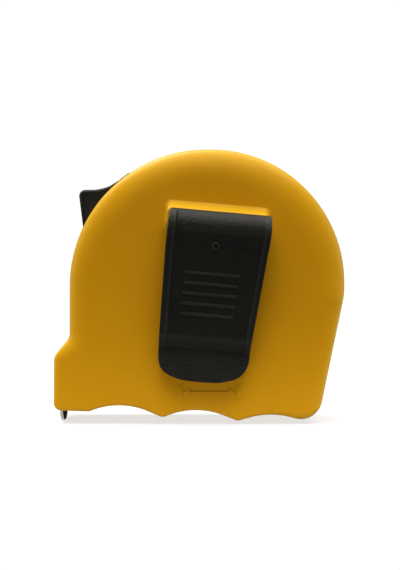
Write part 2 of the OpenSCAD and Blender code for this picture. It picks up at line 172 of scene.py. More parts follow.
def even_widths(path, reach):
    """The same outline, with its edge widths averaged over reach millimetres to each side."""
    ends = list(zip(path, path[1:] + path[:1]))
    samples, length, places = [], 0.0, []
    for a, b in ends:
        places.append(length)
        step = math.dist(a[:2], b[:2])
        n = max(1, math.ceil(step / 0.5))
        for k in range(n):
            share = (k + 0.5) / n
            samples.append((length + step * share, a[4] + (b[4] - a[4]) * share, step / n))
        length += step
    smooth = []
    for point, here in zip(path, places):
        total = weight = 0.0
        for place_on, width, size in samples:
            gap = abs(place_on - here)
            share = size * max(0.0, 1 - min(gap, length - gap) / reach)
            total += share * width
            weight += share
        smooth.append((*point[:4], min(total / weight, point[5])))
    return smooth


def lookup(table, v):
    """Straight-line lookup in a table of (key, value), sorted by key."""
    if v <= table[0][0]:
        return table[0][1]
    for (v0, x0), (v1, x1) in zip(table, table[1:]):
        if v <= v1:
            return x0 + (x1 - x0) * (v - v0) / (v1 - v0)
    return table[-1][1]


def polar(radius, degrees):
    """A point round the reel's axis, anticlockwise from +X."""
    t = math.radians(degrees)
    return REEL[0] + radius * math.cos(t), REEL[2] + radius * math.sin(t)


# ======== Mesh helpers ========
def mesh_object(name, verts, faces):
    """A mesh from millimetre points, in the row frame."""
    mesh = bpy.data.meshes.new(name)
    mesh.from_pydata([[c * MM for c in v] for v in verts], [], faces)
    bm = bmesh.new()
    bm.from_mesh(mesh)
    bmesh.ops.recalc_face_normals(bm, faces=bm.faces)
    bm.to_mesh(mesh)
    bm.free()
    obj = bpy.data.objects.new(name, mesh)
    bpy.context.scene.collection.objects.link(obj)
    return obj


def loft(name, rings):
    """A closed solid through rings that each have the same number of points."""
    n = len(rings[0])
    faces = []
    for k in range(len(rings) - 1):
        for i in range(n):
            j = (i + 1) % n
            faces.append((k * n + i, k * n + j, (k + 1) * n + j, (k + 1) * n + i))
    faces.append(tuple(range(n)))
    faces.append(tuple((len(rings) - 1) * n + i for i in range(n)))
    return mesh_object(name, [p for ring in rings for p in ring], faces)


def prism_y(name, outline, y0, y1):
    """A flat XZ outline, extruded along Y from the parting plane."""
    return loft(name, [[(x, CASE_Y + y, z) for x, z in outline] for y in (y0, y1)])


def disc_y(name, x, z, radius, y0, y1, count):
    """A round prism along Y."""
    turn = [2 * math.pi * i / count for i in range(count)]
    return prism_y(name, [(x + radius * math.cos(t), z + radius * math.sin(t)) for t in turn], y0, y1)


def box(name, low, high):
    """A block between two corners."""
    (x0, y0, z0), (x1, y1, z1) = low, high
    return loft(name, [[(x0, y0, z), (x1, y0, z), (x1, y1, z), (x0, y1, z)] for z in (z0, z1)])


def apply_modifiers(obj):
    """Turns what the modifiers make into the object's own mesh."""
    evaluated = obj.evaluated_get(bpy.context.evaluated_depsgraph_get())
    mesh = bpy.data.meshes.new_from_object(evaluated)
    obj.modifiers.clear()
    obj.data = mesh


def combine(obj, tool, operation):
    """Cuts tool from obj, or joins it on, and removes tool."""
    obj.modifiers.clear()
    modifier = obj.modifiers.new("combine", "BOOLEAN")
    modifier.operation = operation
    modifier.object = tool
    modifier.solver = "EXACT"
    apply_modifiers(obj)
    bpy.data.objects.remove(tool)


def soften(obj, width, segments, angle, smooth=30):
    """Rounds the edges sharper than angle by width millimetres, then shades smooth up to smooth degrees."""
    bm = bmesh.new()
    bm.from_mesh(obj.data)
    bmesh.ops.remove_doubles(bm, verts=bm.verts, dist=0.002 * MM)
    bmesh.ops.dissolve_degenerate(bm, edges=bm.edges, dist=0.002 * MM)
    bm.to_mesh(obj.data)
    bm.free()
    modifier = obj.modifiers.new("edges", "BEVEL")
    modifier.width = width * MM
    modifier.segments = segments
    modifier.limit_method = "ANGLE"
    modifier.angle_limit = math.radians(angle)
    modifier.use_clamp_overlap = True
    apply_modifiers(obj)
    shade(obj, smooth)


def shade(obj, degrees):
    """Smooth shading up to an angle, with the flat faces kept flat."""
    obj.data.shade_smooth()
    obj.data.set_sharp_from_angle(angle=math.radians(degrees))
    weighted = obj.modifiers.new("flat faces", "WEIGHTED_NORMAL")
    weighted.keep_sharp = True


def place(obj, body, material, slot, *nodes):
    """Gives a finished piece its material and its body, and hides the CAD nodes that it stands for; slot is
    not used.
    """
    obj.data.materials.clear()
    obj.data.materials.append(material)
    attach(obj, body)
    if nodes:
        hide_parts(*nodes)


# ======== Materials ========
class Shader:
    """A node material with its Principled shader, and short calls for the nodes that feed it."""

    def __init__(self, name, base, roughness, metallic=0.0, **constants):
        self.material = bpy.data.materials.new(name)
        self.material.use_nodes = True
        self.nodes, self.links = self.material.node_tree.nodes, self.material.node_tree.links
        self.shader = next(n for n in self.nodes if n.type == "BSDF_PRINCIPLED")
        self.set("Base Color", (*base, 1.0))
        self.set("Roughness", roughness)
        self.set("Metallic", metallic)
        for key, value in constants.items():
            self.set(key.replace("_", " "), value)
        self.coords = self.nodes.new("ShaderNodeTexCoord").outputs["Object"]
        self.bump_out = None

    def set(self, socket, value):
        self.shader.inputs[socket].default_value = value

    def link(self, output, socket):
        self.links.new(output, self.shader.inputs[socket])

    def math(self, operation, a, b=0.0):
        node = self.nodes.new("ShaderNodeMath")
        node.operation = operation
        for socket, value in zip(node.inputs, (a, b)):
            if isinstance(value, (int, float)):
                socket.default_value = value
            else:
                self.links.new(value, socket)
        return node.outputs[0]

    def xyz(self):
        """The place on the object, in metres, as three outputs."""
        node = self.nodes.new("ShaderNodeSeparateXYZ")
        self.links.new(self.coords, node.inputs[0])
        return node.outputs

    def noise(self, size, detail, stretch=(1, 1, 1)):
        """Noise with features of about size millimetres."""
        mapping = self.nodes.new("ShaderNodeMapping")
        mapping.inputs["Scale"].default_value = stretch
        self.links.new(self.coords, mapping.inputs[0])
        node = self.nodes.new("ShaderNodeTexNoise")
        node.inputs["Scale"].default_value = 1 / (size * MM)
        node.inputs["Detail"].default_value = detail
        self.links.new(mapping.outputs[0], node.inputs["Vector"])
        return node.outputs["Fac"]

    def ramp(self, value, low, high, out_low=0.0, out_high=1.0):
        """Maps low to out_low and high to out_high, and stays within them."""
        node = self.nodes.new("ShaderNodeMapRange")
        node.clamp = True
        limits = {"From Min": low, "From Max": high, "To Min": out_low, "To Max": out_high}
        for key, number in limits.items():
            node.inputs[key].default_value = number
        self.links.new(value, node.inputs["Value"])
        return node.outputs["Result"]

    def mix(self, factor, a, b):
        """Colour a at factor 0 and b at factor 1."""
        node = self.nodes.new("ShaderNodeMix")
        node.data_type = "RGBA"
        self.links.new(factor, node.inputs["Factor"])
        for socket, value in zip((node.inputs[6], node.inputs[7]), (a, b)):
            if isinstance(value, tuple):
                socket.default_value = (*value, 1.0)
            else:
                self.links.new(value, socket)
        return node.outputs[2]

    def bump(self, height, depth, strength=1.0):
        """Adds a relief of depth millimetres to the surface."""
        node = self.nodes.new("ShaderNodeBump")
        node.inputs["Distance"].default_value = depth * MM
        node.inputs["Strength"].default_value = strength
        self.links.new(height, node.inputs["Height"])
        if self.bump_out:
            self.links.new(self.bump_out, node.inputs["Normal"])
        self.bump_out = node.outputs["Normal"]
        self.link(self.bump_out, "Normal")

    def rim(self):
        """Two masks for the case: its rounded rim, for a painted highlight, and its underside, for painted
        shade in patches.
        """
        normal = self.nodes.new("ShaderNodeTexCoord").outputs["Normal"]
        node = self.nodes.new("ShaderNodeSeparateXYZ")
        self.links.new(normal, node.inputs[0])
        side = self.math("ABSOLUTE", node.outputs[1])
        # painted highlight: the mask is strongest where the normal turns away from ±Y, on the rounded rim
        rim = self.ramp(side, 0.98, 0.55)
        # painted shade: faces that look downwards are darkened, more in some patches than in others
        shade_patches = self.ramp(self.noise(3, 3), 0.1, 0.5, 0.5, 0.8)
        low = self.math("MULTIPLY", self.ramp(node.outputs[2], -0.25, -0.8), shade_patches)
        return rim, low

    def worn_edges(self, factor):
        """How far an edge is lightened, partly for wear and partly as a painted highlight, from 0 on the
        flat to factor on a sharp edge.
        """
        pointiness = self.nodes.new("ShaderNodeNewGeometry").outputs["Pointiness"]
        return self.math("MULTIPLY", self.ramp(pointiness, 0.506, 0.57), factor)


def case_plastic():
    """Yellow moulded plastic, a little clouded, with fine grain, a painted highlight on its rim and painted
    shade on its underside.
    """
    s = Shader("case_yellow", (0.585, 0.266, 0.004), 0.40, Specular_IOR_Level=0.22,
               Specular_Tint=(1.0, 0.80, 0.22, 1.0))
    cloud = s.ramp(s.noise(22, 2), 0.3, 0.7)
    colour = s.mix(cloud, (0.565, 0.255, 0.004), (0.600, 0.275, 0.005))
    speck = s.ramp(s.noise(0.9, 3), 0.70, 0.78, 0.0, 0.07)
    colour = s.mix(speck, colour, (0.50, 0.19, 0.003))
    rim, low = s.rim()
    # painted highlight: the rim is made paler and yellower
    colour = s.mix(rim, colour, (0.58, 0.315, 0.007))
    # painted shade: the underside is darkened
    colour = s.mix(low, colour, (0.30, 0.165, 0.008))
    s.link(colour, "Base Color")
    s.link(s.ramp(s.noise(9, 4), 0.3, 0.7, 0.29, 0.41), "Roughness")
    s.bump(s.noise(0.55, 2), 0.006)
    s.bump(s.noise(7, 2), 0.03, 0.5)
    return s.material


def black_plastic(name, base, roughness, grain, depth, edge_wear_and_highlight=0.85):
    """Black moulded plastic or rubber, with grain of that size and depth and lighter edges, partly wear and
    partly a painted highlight.
    """
    s = Shader(name, base, roughness, Specular_IOR_Level=0.11, Specular_Tint=(1.0, 0.93, 0.80, 1.0))
    lighter = tuple(c * 2.2 + 0.019 for c in base)
    colour = s.mix(s.ramp(s.noise(11, 3), 0.35, 0.7), base, tuple(c * 1.25 for c in base))
    # lighter edges: partly wear, partly a painted highlight
    s.link(s.mix(s.worn_edges(edge_wear_and_highlight), colour, lighter), "Base Color")
    s.link(s.ramp(s.noise(2.5, 4), 0.3, 0.7, roughness - 0.05, roughness + 0.07), "Roughness")
    s.bump(s.noise(grain, 1), depth)
    return s.material


def pale_plastic(name, base, roughness=0.5):
    """Pale nylon."""
    s = Shader(name, base, roughness)
    s.link(s.mix(s.ramp(s.noise(8, 3), 0.3, 0.7), base, tuple(c * 0.9 for c in base)), "Base Color")
    s.bump(s.noise(0.4, 2), 0.006)
    return s.material


def steel(name, base, roughness, stretch=(1, 1, 30), scratch=0.25, pitch=None):
    """Metal with fine drawn lines; with a pitch it shows the edges of wound turns round the reel's axis."""
    s = Shader(name, base, roughness, metallic=1.0)
    lines = s.noise(scratch, 3, stretch)
    s.link(s.ramp(lines, 0.3, 0.7, roughness - 0.07, roughness + 0.1), "Roughness")
    stain = s.ramp(s.noise(5, 3), 0.35, 0.75)
    s.link(s.mix(stain, base, tuple(c * 0.82 for c in base)), "Base Color")
    if pitch:
        s.bump(turns(s, pitch), 0.05)
    else:
        s.bump(lines, 0.004)
    return s.material


def hook_metal():
    """Drawn steel, with painted shade on the tab's face towards the case."""
    s = Shader("hook_steel", (0.52, 0.50, 0.43), 0.27, metallic=1.0, IOR=1.02, Specular_IOR_Level=0.0)
    lines = s.noise(0.25, 3, (1, 1, 12))
    x, _, z = s.xyz()
    # painted shade: the tab's face towards the case, below the blade, is made dark, dull and not metallic
    inner = s.ramp(s.math("DIVIDE", x, MM), HOOK_X + HOOK_T * 0.93, HOOK_X + HOOK_T * 0.99)
    inner = s.math("MULTIPLY", inner, s.ramp(s.math("DIVIDE", z, MM), BLADE_Z - 1.0, BLADE_Z - 1.6))
    stain = s.ramp(s.noise(5, 3), 0.35, 0.75)
    bright = s.mix(stain, (0.46, 0.43, 0.36), (0.38, 0.36, 0.29))
    dark = s.mix(stain, (0.022, 0.014, 0.006), (0.040, 0.027, 0.012))
    s.link(s.mix(inner, bright, dark), "Base Color")
    s.link(s.ramp(inner, 0.0, 1.0, 0.27, 0.85), "Roughness")
    s.link(s.ramp(inner, 0.0, 1.0, 1.0, 0.0), "Metallic")
    s.bump(lines, 0.004)
    return s.material


def turns(s, pitch):
    """Rings round the reel's axis, pitch millimetres apart."""
    x, _, z = s.xyz()
    dx, dz = s.math("SUBTRACT", x, REEL[0] * MM), s.math("SUBTRACT", z, REEL[2] * MM)
    radius = s.math("SQRT", s.math("ADD", s.math("MULTIPLY", dx, dx), s.math("MULTIPLY", dz, dz)))
    return s.math("PINGPONG", radius, pitch * MM / 2)


def enamel(name, base, scale=False, pitch=None):
    """Painted blade. With scale it has ticks at every millimetre from the hook, longer at 5 and 10."""
    s = Shader(name, base, 0.3, Coat_Weight=0.3, Coat_Roughness=0.12)
    colour = s.mix(s.ramp(s.noise(14, 2), 0.3, 0.7), base, tuple(c * 0.93 for c in base))
    if scale:
        x, y, _ = s.xyz()
        along = s.math("DIVIDE", s.math("SUBTRACT", x, HOOK_X * MM), MM)
        across = s.math("DIVIDE", s.math("SUBTRACT", y, CASE_Y * MM), MM)
        edge = s.math("SUBTRACT", BLADE_HALF, s.math("ABSOLUTE", across))
        marks = None
        for step, length, width in ((1, 3.0, 0.09), (5, 4.4, 0.10), (10, 6.0, 0.13)):
            mark = s.math("MULTIPLY", s.math("LESS_THAN", near_multiple(s, along, step), width),
                          s.math("LESS_THAN", edge, length))
            marks = mark if marks is None else s.math("MAXIMUM", marks, mark)
        colour = s.mix(marks, colour, (0.012, 0.012, 0.014))
    s.link(colour, "Base Color")
    s.link(s.ramp(s.noise(3, 3), 0.3, 0.7, 0.24, 0.4), "Roughness")
    if pitch:
        s.bump(turns(s, pitch), 0.05)
    else:
        s.bump(s.noise(0.5, 2), 0.003)
    return s.material


def near_multiple(s, value, step):
    """Distance to the nearest multiple of step."""
    return s.math("MULTIPLY", s.math("PINGPONG", s.math("DIVIDE", value, step), 0.5), step)


def label_film():
    """Dark film with plain rings and ticks, and no words."""
    s = Shader("label_film", (0.02, 0.02, 0.022), 0.28, Coat_Weight=0.4, Coat_Roughness=0.1)
    x, _, z = s.xyz()
    dx = s.math("DIVIDE", s.math("SUBTRACT", x, REEL[0] * MM), MM)
    dz = s.math("DIVIDE", s.math("SUBTRACT", z, REEL[2] * MM), MM)
    radius = s.math("SQRT", s.math("ADD", s.math("MULTIPLY", dx, dx), s.math("MULTIPLY", dz, dz)))
    ring = s.math("LESS_THAN", s.math("ABSOLUTE", s.math("SUBTRACT", radius, 15.4)), 0.3)
    hub = s.math("LESS_THAN", s.math("ABSOLUTE", s.math("SUBTRACT", radius, 7.2)), 0.18)
    turn = s.math("MULTIPLY", s.math("ARCTAN2", dz, dx), 180 / math.pi)
    ray = s.math("MULTIPLY", near_multiple(s, turn, 15.0), s.math("MULTIPLY", radius, math.pi / 180))
    ticks = s.math("MULTIPLY", s.math("LESS_THAN", ray, 0.22),
                   s.math("LESS_THAN", s.math("ABSOLUTE", s.math("SUBTRACT", radius, 13.2)), 0.9))
    band = s.math("MAXIMUM", hub, ticks)
    base = s.mix(s.ramp(s.noise(6, 3), 0.3, 0.7), (0.018, 0.018, 0.02), (0.03, 0.03, 0.032))
    colour = s.mix(s.math("MAXIMUM", ring, band), base, (0.78, 0.40, 0.02))
    s.link(colour, "Base Color")
    s.bump(s.noise(0.4, 2), 0.003)
    return s.material


MATERIALS = {
    "case_yellow": case_plastic(),
    "clip_black": black_plastic("clip_black", (0.0098, 0.0098, 0.0084), 0.34, 0.40, 0.17),
    "lock_black": black_plastic("lock_black", (0.0085, 0.0090, 0.0085), 0.40, 0.5, 0.06, 0.3),
    "black_rubber": black_plastic("black_rubber", (0.012, 0.012, 0.012), 0.75, 0.5, 0.02),
    "drum_nylon": pale_plastic("drum_nylon", (0.70, 0.70, 0.66)),
    "washer_nylon": pale_plastic("washer_nylon", (0.82, 0.82, 0.80), 0.42),
    "screw_steel": steel("screw_steel", (0.52, 0.52, 0.50), 0.30, (1, 1, 1), 0.4),
    "arbor_steel": steel("arbor_steel", (0.50, 0.50, 0.50), 0.26, (1, 30, 1)),
    "rivet_metal": steel("rivet_metal", (0.72, 0.71, 0.69), 0.30, (1, 1, 1), 0.5),
    "hook_steel": hook_metal(),
    "spring_steel": steel("spring_steel", (0.13, 0.15, 0.19), 0.34, (1, 30, 1), pitch=0.4),
    "blade_enamel": enamel("blade_enamel", (0.83, 0.52, 0.03), scale=True),
    "coil_enamel": enamel("coil_enamel", (0.72, 0.45, 0.03), pitch=0.4),
    "label_film": label_film(),
}
SLOTS = {s["node"]: s["material_slot"] for s in frame["record"]["subparts"]}
for node, obj in frame["nodes"].items():
    obj.data.materials.clear()
    obj.data.materials.append(MATERIALS[SLOTS[node]])


# ======== Case ========
def case_half(name, side):
    """One moulded half. side is +1 for the label's half and -1 for the clip's."""
    path = even_widths(rounded([[x, z + LIFT, r, w] for x, z, r, w in OUTLINE], 1.5), 6.0)
    rings = [[(p[0] - p[2] * SEAM, CASE_Y + side * 0.005, p[1] - p[3] * SEAM) for p in path],
             [(p[0], CASE_Y + side * 0.14, p[1]) for p in path],
             [(p[0], CASE_Y + side * (MOUTH_HALF + 0.6), p[1]) for p in path]]
    edge_steps = 12
    for step in range(edge_steps + 1):
        t = math.radians(90 * step / edge_steps)
        ring = []
        for x, z, nx, nz, width in path:
            inset = width * (1 - math.cos(t))
            y = HALF_T - EDGE_BULGE * width * (1 - math.sin(t))
            ring.append((x - nx * inset, CASE_Y + side * y, z - nz * inset))
        rings.append(ring)
    shrink = 0.99       # a narrow flat band, so that the rim's shading stops at the flat face
    rings.append([(REEL[0] + (x - REEL[0]) * shrink, y, REEL[2] + (z - REEL[2]) * shrink)
                  for x, y, z in rings[-1]])
    half = loft(name, rings)
    inner = [(p[0], p[1]) for p in rounded([[x, z + LIFT, r, w] for x, z, r, w in CAVITY], 5)]
    combine(half, prism_y("cavity", inner, -1 * side, (HALF_T - WALL) * side), "DIFFERENCE")
    combine(half, box("mouth", (MOUTH_X - 1, CASE_Y - MOUTH_HALF, FLOOR_Z - MOUTH_SILL + LIFT),
                      (MOUTH_X + MOUTH_DEPTH, CASE_Y + MOUTH_HALF, MOUTH_TOP + LIFT)), "DIFFERENCE")
    combine(half, box("hook_recess", (MOUTH_X - 1.5, CASE_Y - MOUTH_HALF, -2),
                      (MOUTH_X + RECESS_DEPTH, CASE_Y + MOUTH_HALF, RECESS_TOP + LIFT)), "DIFFERENCE")
    arc = [LOCK_SLOT[0] + (LOCK_SLOT[1] - LOCK_SLOT[0]) * i / 12 for i in range(13)]
    slot = [polar(LOCK_SLOT_R[0], t) for t in arc] + [polar(LOCK_SLOT_R[1], t) for t in reversed(arc)]
    combine(half, prism_y("lock_slot", slot, -LOCK_SLOT_HALF, LOCK_SLOT_HALF), "DIFFERENCE")
    return half


def clip_point(x, u, v):
    """A point in the clip's frame, in the row frame."""
    c, s = math.cos(CLIP_LEAN), math.sin(CLIP_LEAN)
    return (CLIP_ROOT[0] + x * c + v * s, CLIP_ROOT[1] + CLIP_U - u, CLIP_ROOT[2] - x * s + v * c)


def clip_boss():
    """The socket that the clip snaps into, with a soft foot where it grows out of the case.

    Each ring is at u out of the case, and is wider than the socket by grow.
    """
    rings = []
    for u, grow in ((-0.4, 0.9), (-0.05, 0.75), (0.05, 0.55), (0.15, 0.35), (0.35, 0.15), (0.7, 0.03),
                    (3.3, 0.0), (3.6, -0.1), (3.8, -0.28), (3.9, -0.55)):
        top, bottom = 2.95 - 0.346 * u, -4.27 + 0.33 * u
        corners = [[SOCKET_X[0] - grow, bottom - grow], [SOCKET_X[1] + grow, bottom - grow],
                   [SOCKET_X[1] + grow, top + grow], [SOCKET_X[0] - grow, top + grow]]
        outline = rounded([[*c, 1.3 + grow * 0.5, 0] for c in corners], 15)
        rings.append([clip_point(p[0], u, p[1]) for p in outline])
    return loft("boss", rings)


def clip_slot():
    """The keyhole that holds the clip's bead."""
    radius, half_slot = BEAD_R + 0.1, 1.17
    turn = [math.radians(47 + i * (360 - 94) / 20) for i in range(21)]
    outline = [(CLIP_U + radius * math.cos(t), radius * math.sin(t)) for t in turn]
    outline += [(CLIP_U + 5, -half_slot), (CLIP_U + 5, half_slot)]
    ends = (NECK_X[0] - 0.3, NECK_X[1] + 0.3)
    return loft("clip_slot", [[clip_point(x, u, v) for u, v in outline] for x in ends])


def length_symbol():
    """Shallow raised sign for the case's length: an arrow between two bars."""
    cx, cz, half, face = 2.4, 7.8, 7.2, CASE_Y - HALF_T
    shapes = []
    for end in (-half, half):
        shapes.append([(end - 0.4, -1.7), (end + 0.4, -1.7), (end + 0.4, 1.7), (end - 0.4, 1.7)])
    shapes.append([(-half + 2.2, -0.33), (half - 2.2, -0.33), (half - 2.2, 0.33), (-half + 2.2, 0.33)])
    shapes.append([(-half + 0.7, 0), (-half + 2.5, -1.2), (-half + 2.5, 1.2)])
    shapes.append([(half - 0.7, 0), (half - 2.5, 1.2), (half - 2.5, -1.2)])
    pieces = []
    for shape in shapes:
        mx, mz = (sum(p[i] for p in shape) / len(shape) for i in (0, 1))
        rings = []
        for y, k in ((0.3, 1.0), (-0.12, 1.0), (-0.24, 0.86)):      # the top edges lean in a little
            rings.append([(cx + mx + (x - mx) * k, face + y, cz + mz + (z - mz) * k) for x, z in shape])
        pieces.append(loft("sign", rings))
    return pieces


clip_half = case_half("clip_side_case", -1)
combine(clip_half, clip_boss(), "UNION")
combine(clip_half, clip_slot(), "DIFFERENCE")
for piece in length_symbol():
    combine(clip_half, piece, "UNION")
soften(clip_half, 0.12, 2, 38)
place(clip_half, "case", MATERIALS["case_yellow"], "case_yellow", "clip_side_shell")

label_half = case_half("label_side_case", 1)
for sx, sz in SCREWS:
    recess = disc_y("recess", sx, sz + LIFT, SCREW_RECESS_R, SCREW_RECESS_Y, HALF_T + 1, 40)
    combine(label_half, recess, "DIFFERENCE")
seat = disc_y("label_seat", REEL[0], REEL[2], LABEL_R + 0.2, HALF_T - LABEL_T, HALF_T + 1, 96)
combine(label_half, seat, "DIFFERENCE")
soften(label_half, 0.12, 2, 38)
place(label_half, "case", MATERIALS["case_yellow"], "case_yellow", "label_side_shell")


# ======== Belt clip ========
CORNER_STEPS = 9
TIP_STEPS = 14


def arm_path(corners):
    """Points down one face of the arm, closer together towards the tip."""
    points = [Vector(corners[0][:2])]
    for a, c, b in zip(corners, corners[1:], corners[2:]):
        points += [Vector(p[:2]) for p in corner_arc(a, c, b, count=CORNER_STEPS)]
    last, tip = points[-1], Vector(corners[-1][:2])
    points += [last.lerp(tip, math.sin(math.radians(90 * i / TIP_STEPS))) for i in range(1, TIP_STEPS + 1)]
    return points


def arm():
    """The sprung arm: raised rims beside a sunk panel outside, and a plain face inside."""
    rings = []
    for o, i in zip(arm_path(CLIP_OUTSIDE), arm_path(CLIP_INSIDE)):
        l, r = lookup(CLIP_LEFT, o[1]), lookup(CLIP_RIGHT, o[1])
        deep = lookup(CLIP_PANEL, o[1])
        inward = (i - o).normalized()
        a, b = l + CLIP_RIM[0], r - CLIP_RIM[1]
        section = [(l, 0), (l + 0.6, 0), (a - 0.4, 0), (a, 0),
                   (a + 0.12, deep * 0.25), (a + 0.32, deep * 0.9), (a + 0.5, deep)]
        section += [(a + 0.5 + (b - a - 1.0) * k / 6, deep) for k in range(1, 6)]
        section += [(b - 0.5, deep), (b - 0.32, deep * 0.9), (b - 0.12, deep * 0.25),
                    (b, 0), (b + 0.25, 0), (r - 0.6, 0), (r, 0)]
        ring = [clip_point(x, *(o + inward * d)) for x, d in section]
        li, ri = lookup(CLIP_LEFT, i[1]), lookup(CLIP_RIGHT, i[1])
        ring += [clip_point(ri + (li - ri) * k / 6, *i) for k in range(7)]
        rings.append(ring)
    return loft("belt_clip_arm", rings)


def clip_neck():
    """Bead and short plate at the root of the clip."""
    half_plate = 0.65
    turn = [math.radians(28 + i * (360 - 56) / 28) for i in range(29)]
    outline = [(CLIP_U + BEAD_R * math.cos(t), BEAD_R * math.sin(t)) for t in turn]
    outline += [(CLIP_U + 3.0, -half_plate), (CLIP_U + 3.0, half_plate)]
    return loft("neck", [[clip_point(x, u, v) for u, v in outline] for x in NECK_X])


def clip_surface(v):
    """u of the panel's surface at v on the arm, below the top roll."""
    path = sorted((p[1], p[0]) for p in arm_path(CLIP_OUTSIDE)[CORNER_STEPS + 1:])
    return lookup(path, v) - lookup(CLIP_PANEL, v)


def pad(name, x, v, half_x, half_v, height, radius):
    """A low rounded bar that stands on the panel."""
    rings = []
    for rise, shrink in ((-0.25, 0.0), (height * 0.5, 0.0), (height * 0.9, 0.06), (height, 0.16)):
        hx, hv = half_x - shrink, half_v - shrink
        corners = [[-hx, -hv], [hx, -hv], [hx, hv], [-hx, hv]]
        outline = rounded([[*c, max(0.03, radius - shrink), 0] for c in corners], 22.5)
        rings.append([clip_point(x + p[0], clip_surface(v + p[1]) + rise, v + p[1]) for p in outline])
    return loft(name, rings)


def circle_on_clip(x, v, radius, rise):
    """A ring of points that follows the panel, rise millimetres out of it."""
    points, count = [], 28
    for i in range(count):
        t = 2 * math.pi * i / count
        pv = v + radius * math.sin(t)
        points.append(clip_point(x + radius * math.cos(t), clip_surface(pv) + rise, pv))
    return points


def gate_mark(x, v, r_in, r_out, height):
    """The small ring that the moulding gate leaves."""
    ring = loft("gate", [circle_on_clip(x, v, r_out, -0.2), circle_on_clip(x, v, r_out, height * 0.7),
                         circle_on_clip(x, v, r_out - 0.08, height)])
    hole = [circle_on_clip(x, v, r_in, rise) for rise in (0.01, height + 0.5)]
    combine(ring, loft("gate_hole", hole), "DIFFERENCE")
    return ring


belt_clip = arm()
soften(belt_clip, 0.42, 3, 50, 40)
combine(belt_clip, clip_neck(), "UNION")
for k in range(5):
    bar = pad("grip_bar", x=-0.2 - 0.12 * k, v=-14.0 - 2.5 * k, half_x=6.6, half_v=0.36,
              height=0.22, radius=0.34)
    combine(belt_clip, bar, "UNION")
combine(belt_clip, gate_mark(0.0, -7.2, 0.5, 0.95, 0.3), "UNION")
shade(belt_clip, 40)
place(belt_clip, "clip", MATERIALS["clip_black"], "clip_black", "belt_clip")


# ======== Thumb lock ========
def thumb_button():
    """The button with its thin skirt up the dome, rounded sides and four grooves across its front."""
    skirt_r, skirt = FRONT_R + 0.62, (124.2, 129.8)
    foot_angle = 155.4
    # foot, top corner, hollow, and the point where the skirt starts: [x, z, radius]
    foot, top, hollow = [-29.2, 46.2 + LIFT], [-30.65, 57.5 + LIFT, 1.6], [-24.0, 57.4 + LIFT, 12.0]
    end = polar(skirt_r, skirt[1])
    outline = [foot] + [p[:2] for p in corner_arc(foot, top, hollow, 10)]
    outline += [p[:2] for p in corner_arc(top, hollow, end, 3)]
    outline += [polar(skirt_r, skirt[1] - (skirt[1] - skirt[0]) * i / 8) for i in range(9)]
    under = [polar(FRONT_R + 0.25, skirt[0] + 0.05 + (foot_angle - skirt[0]) * i / 24) for i in range(25)]
    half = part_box("thumb_button")[1].y / MM - CASE_Y
    button = prism_y("thumb_button_shape", outline + under, -half, half)
    round_rim(button, half, 0.8)
    groove_r, groove_half = 0.5, 5.0
    turn = [math.pi * i / 8 for i in range(16)]
    for k in range(4):
        z = 49.4 + LIFT + 1.75 * k
        x = foot[0] + (top[0] - foot[0]) * (z - foot[1]) / (top[1] - foot[1])
        groove = [(x - 0.12 + groove_r * math.cos(t), z + groove_r * math.sin(t)) for t in turn]
        combine(button, prism_y("groove", groove, -groove_half, groove_half), "DIFFERENCE")
    shade(button, 30)
    return button


def round_rim(button, half, width):
    """Rounds the button's two side edges wherever it stands well clear of the case."""
    bm = bmesh.new()
    bm.from_mesh(button.data)
    rim = []
    for edge in bm.edges:
        a, b = (v.co / MM for v in edge.verts)
        middle = (a + b) / 2
        height = math.dist((middle.x, middle.z), (REEL[0], REEL[2])) - FRONT_R
        on_side = abs(a.y - b.y) < 0.01 and abs(abs(a.y - CASE_Y) - half) < 0.01
        if on_side and height > 1.0:
            rim.append(edge)
    bmesh.ops.bevel(bm, geom=rim, offset=width * MM, segments=5, profile=0.5, affect="EDGES",
                    clamp_overlap=False)
    bm.to_mesh(button.data)
    bm.free()


place(thumb_button(), "lock", MATERIALS["lock_black"], "lock_black", "thumb_button")


# ======== End hook and rivets ========
CUP_R = 23.6                    # radius of the blade's hollow section
HOOK_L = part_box("end_hook")[1].x / MM - HOOK_X
SHOULDER_Z = 2.9 + LIFT         # where the tab starts to narrow
RIVETS = [(3.4, -9.2), (3.4, 9.2), (8.6, 0.0)]  # distance from the blade's end, turn round the cup's axis


def cup(y, below):
    """Height of the blade's hollow section at y from its middle, on the surface `below` under the blade."""
    radius = CUP_R + below
    return BLADE_Z + CUP_R - math.sqrt(radius * radius - y * y)


